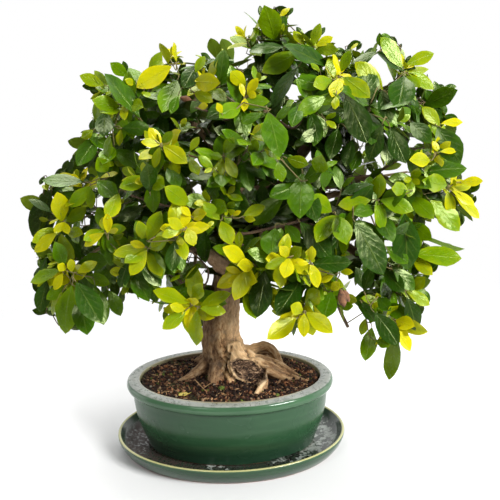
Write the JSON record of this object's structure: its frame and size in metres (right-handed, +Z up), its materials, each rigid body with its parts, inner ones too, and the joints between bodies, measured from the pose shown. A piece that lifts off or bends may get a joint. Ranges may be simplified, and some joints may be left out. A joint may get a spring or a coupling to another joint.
{
  "type": "golden dewdrop bonsai",
  "caption": "Golden dewdrop bonsai with a broad leafy crown and surface roots, in an oval green-glazed pot on its matching saucer.",
  "frame": {"origin": "middle of the saucer's flat underside", "axes": "+Z up, +X to the right along the pot's long side, the tree's front faces -Y"},
  "size_m": [0.4431, 0.3231, 0.4472],
  "materials": {
    "pot_glaze": "glossy sage-green glaze over a terracotta body, darker towards the foot",
    "saucer_glaze": "glossy green glaze with a pale cream line on the lip, unglazed brown base edge",
    "screen": "plain dark plastic mesh",
    "soil": "dark brown granular bonsai soil",
    "bark": "tan-brown fibrous bark",
    "leaf": "glossy leaves from lime to dark green",
    "golden_leaf": "young golden-yellow leaves",
    "dry_leaf": "dropped yellow leaf",
    "dry_twig": "dry bare twig"
  },
  "bodies": {
    "root": {"saucer": "saucer_glaze", "pot": "pot_glaze", "drain_screen_left": "screen", "drain_screen_right": "screen", "soil": "soil", "fallen_leaf": "dry_leaf", "fallen_twig": "dry_twig", "tree": "bark", "spray_crown_peak": "leaf", "spray_crown_front": "leaf", "spray_crown_middle": "leaf", "spray_shoulder_left": "leaf", "spray_left_upper": "leaf", "spray_left_face": "leaf", "spray_left_edge": "leaf", "spray_left_skirt": "leaf", "spray_left_front": "leaf", "spray_low_front": "leaf", "spray_centre_face": "leaf", "spray_centre_low": "leaf", "spray_right_face_low": "leaf", "spray_right_face": "leaf", "spray_crown_fall": "leaf", "spray_crown_right": "leaf", "spray_shoulder_right": "leaf", "spray_right_edge": "leaf", "spray_right_middle": "leaf", "spray_right_skirt": "leaf", "spray_crown_rear": "leaf", "spray_rear_left_crown": "leaf", "spray_rear_right_crown": "leaf", "spray_rear_middle": "leaf", "spray_rear_low": "leaf", "spray_rear_left": "leaf", "spray_rear_left_low": "leaf", "spray_rear_right": "leaf", "spray_rear_right_low": "leaf", "spray_side_left": "leaf", "spray_side_right": "leaf", "golden_crown_peak_2": "golden_leaf", "golden_crown_front_2": "golden_leaf", "golden_crown_middle_2": "golden_leaf", "golden_shoulder_left_1": "golden_leaf", "golden_left_face_1": "golden_leaf", "golden_left_edge_1": "golden_leaf", "golden_left_skirt_1": "golden_leaf", "golden_left_front_2": "golden_leaf", "golden_low_front_1": "golden_leaf", "golden_centre_low_1": "golden_leaf", "golden_centre_low_2": "golden_leaf", "golden_right_face_low_1": "golden_leaf", "golden_crown_right_1": "golden_leaf", "golden_shoulder_right_1": "golden_leaf", "golden_right_edge_1": "golden_leaf", "golden_right_skirt_2": "golden_leaf"}
  },
  "joints": []
}
